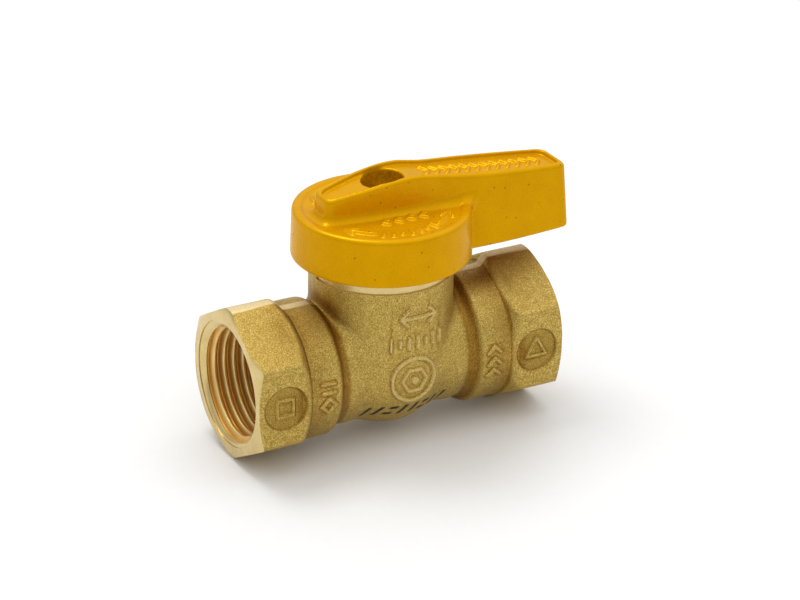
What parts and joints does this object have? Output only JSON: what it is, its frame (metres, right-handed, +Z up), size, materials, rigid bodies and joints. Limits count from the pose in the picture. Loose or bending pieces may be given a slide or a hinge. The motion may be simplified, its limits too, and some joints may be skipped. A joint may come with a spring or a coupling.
{
  "type": "gas ball valve",
  "caption": "Forged brass quarter-turn ball valve with female threaded hexagon ends and a yellow cast lever on a round cup.",
  "frame": {"origin": "centre of the ball, where the pipe axis meets the stem axis", "axes": "+X along the pipe, towards the outlet and the tip of the open lever; +Z up the stem; +Y completes the right-handed frame"},
  "size_m": [0.0639, 0.0312, 0.0472],
  "materials": {
    "forged_brass": "sand-blasted forged brass, satin, fine sparkling grain",
    "turned_brass": "machined, bright, fine turning lines",
    "seal_plastic": "natural white fluoropolymer, waxy",
    "seal_rubber": "black nitrile rubber, matt",
    "chrome_plate": "polished chrome plating",
    "yellow_paint": "smooth glossy yellow epoxy paint on a zinc die casting",
    "zinc_steel": "bright zinc plating"
  },
  "bodies": {
    "body": {"valve_body": "forged_brass", "seat_retainer": "turned_brass", "seat_inlet": "seal_plastic", "seat_outlet": "seal_plastic", "seat_oring_inlet": "seal_rubber", "seat_oring_outlet": "seal_rubber", "stem_thrust_washer": "seal_plastic"},
    "handle": {"stem": "turned_brass", "stem_oring_lower": "seal_rubber", "stem_oring_upper": "seal_rubber", "handle": "yellow_paint", "handle_screw": "zinc_steel", "spring_washer": "zinc_steel"},
    "ball": {"ball": "chrome_plate"}
  },
  "joints": [
    {"name": "handle_turn", "type": "hinge", "parent": "body", "child": "handle", "pos_m": [0, 0, 0.018], "axis": [0, 0, 1], "range_deg": [-90, 0]},
    {"name": "ball_turn", "type": "hinge", "parent": "body", "child": "ball", "pos_m": [0, 0, 0], "axis": [0, 0, 1], "range_deg": [-90, 0]}
  ],
  "couplings": [
    {"joint": "ball_turn", "follows": "handle_turn", "ratio": 1}
  ]
}
